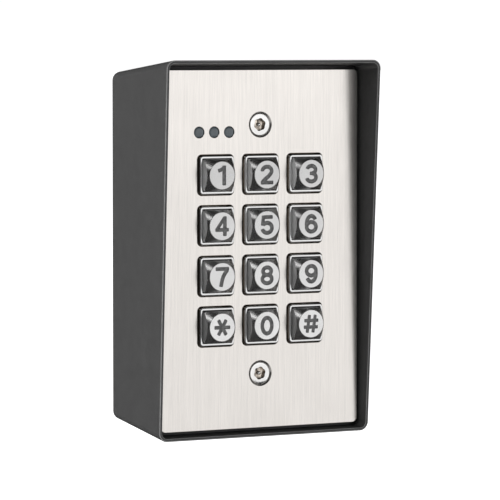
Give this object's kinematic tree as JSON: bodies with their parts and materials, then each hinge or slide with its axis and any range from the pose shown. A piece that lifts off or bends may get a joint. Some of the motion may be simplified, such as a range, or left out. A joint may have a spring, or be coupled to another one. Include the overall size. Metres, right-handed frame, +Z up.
{
  "type": "keypad access reader",
  "caption": "Hooded wall-mounted access keypad: black flared box, brushed metal faceplate, square metal keys in bright collars, indicator lenses and flush tamper-proof screws.",
  "frame": {"origin": "centre of the flat back face, which lies against the wall", "axes": "+Z up the wall, +Y into the wall, so the keys face -Y; +X to the right as seen by someone pressing the keys"},
  "size_m": [0.0804, 0.0515, 0.1258],
  "materials": {
    "housing": "fine-textured matt black powder coat",
    "faceplate": "vertical brushed grain",
    "key_frame": "bright plated die casting",
    "keys": "satin plated die casting, dark filled legend",
    "lenses": "smoked, slightly domed",
    "leds": "clear epoxy",
    "screws": "polished stainless",
    "inserts": "turned",
    "gasket": "closed-cell foam",
    "mat": "matt silicone",
    "boards": "green solder mask",
    "black_plastic": "moulded",
    "relay": "moulded blue case",
    "terminal": "moulded green",
    "spacers": "natural nylon",
    "nuts": "zinc-plated steel look",
    "studs": "plain steel, threads not drawn",
    "grommet": "soft black rubber",
    "plunger": "natural acetal"
  },
  "bodies": {
    "case": {"housing": "housing", "faceplate": "faceplate", "key_frame": "key_frame", "plate_gasket": "gasket", "key_mat": "mat", "key_board": "boards", "controller_board": "boards", "controller_chip": "black_plastic", "board_header": "black_plastic", "relay": "relay", "buzzer": "black_plastic", "terminal_block": "terminal", "cable_grommet": "grommet", "tamper_switch": "black_plastic", "lens_left": "lenses", "led_left": "leds", "lens_middle": "lenses", "led_middle": "leds", "lens_right": "lenses", "led_right": "leds", "spacer_top_left": "spacers", "nut_top_left": "nuts", "stud_top_left": "studs", "spacer_top_right": "spacers", "nut_top_right": "nuts", "stud_top_right": "studs", "spacer_bottom_left": "spacers", "nut_bottom_left": "nuts", "stud_bottom_left": "studs", "spacer_bottom_right": "spacers", "nut_bottom_right": "nuts", "stud_bottom_right": "studs", "screw_top": "screws", "insert_top": "inserts", "screw_bottom": "screws", "insert_bottom": "inserts"},
    "key_1": {"key_1": "keys"},
    "key_2": {"key_2": "keys"},
    "key_3": {"key_3": "keys"},
    "key_4": {"key_4": "keys"},
    "key_5": {"key_5": "keys"},
    "key_6": {"key_6": "keys"},
    "key_7": {"key_7": "keys"},
    "key_8": {"key_8": "keys"},
    "key_9": {"key_9": "keys"},
    "key_0": {"key_0": "keys"},
    "key_star": {"key_star": "keys"},
    "key_hash": {"key_hash": "keys"},
    "tamper_plunger": {"tamper_plunger": "plunger"}
  },
  "joints": [
    {"name": "key_1_press", "type": "slide", "parent": "case", "child": "key_1", "axis": [0, 1, 0], "range_m": [0, 0.0012], "stiffness_N_per_m": 900, "deforming": ["key_mat"]},
    {"name": "key_2_press", "type": "slide", "parent": "case", "child": "key_2", "axis": [0, 1, 0], "range_m": [0, 0.0012], "stiffness_N_per_m": 900, "deforming": ["key_mat"]},
    {"name": "key_3_press", "type": "slide", "parent": "case", "child": "key_3", "axis": [0, 1, 0], "range_m": [0, 0.0012], "stiffness_N_per_m": 900, "deforming": ["key_mat"]},
    {"name": "key_4_press", "type": "slide", "parent": "case", "child": "key_4", "axis": [0, 1, 0], "range_m": [0, 0.0012], "stiffness_N_per_m": 900, "deforming": ["key_mat"]},
    {"name": "key_5_press", "type": "slide", "parent": "case", "child": "key_5", "axis": [0, 1, 0], "range_m": [0, 0.0012], "stiffness_N_per_m": 900, "deforming": ["key_mat"]},
    {"name": "key_6_press", "type": "slide", "parent": "case", "child": "key_6", "axis": [0, 1, 0], "range_m": [0, 0.0012], "stiffness_N_per_m": 900, "deforming": ["key_mat"]},
    {"name": "key_7_press", "type": "slide", "parent": "case", "child": "key_7", "axis": [0, 1, 0], "range_m": [0, 0.0012], "stiffness_N_per_m": 900, "deforming": ["key_mat"]},
    {"name": "key_8_press", "type": "slide", "parent": "case", "child": "key_8", "axis": [0, 1, 0], "range_m": [0, 0.0012], "stiffness_N_per_m": 900, "deforming": ["key_mat"]},
    {"name": "key_9_press", "type": "slide", "parent": "case", "child": "key_9", "axis": [0, 1, 0], "range_m": [0, 0.0012], "stiffness_N_per_m": 900, "deforming": ["key_mat"]},
    {"name": "key_0_press", "type": "slide", "parent": "case", "child": "key_0", "axis": [0, 1, 0], "range_m": [0, 0.0012], "stiffness_N_per_m": 900, "deforming": ["key_mat"]},
    {"name": "key_star_press", "type": "slide", "parent": "case", "child": "key_star", "axis": [0, 1, 0], "range_m": [0, 0.0012], "stiffness_N_per_m": 900, "deforming": ["key_mat"]},
    {"name": "key_hash_press", "type": "slide", "parent": "case", "child": "key_hash", "axis": [0, 1, 0], "range_m": [0, 0.0012], "stiffness_N_per_m": 900, "deforming": ["key_mat"]},
    {"name": "tamper_press", "type": "slide", "parent": "case", "child": "tamper_plunger", "axis": [0, -1, 0], "range_m": [0, 0.0015], "stiffness_N_per_m": 400}
  ]
}
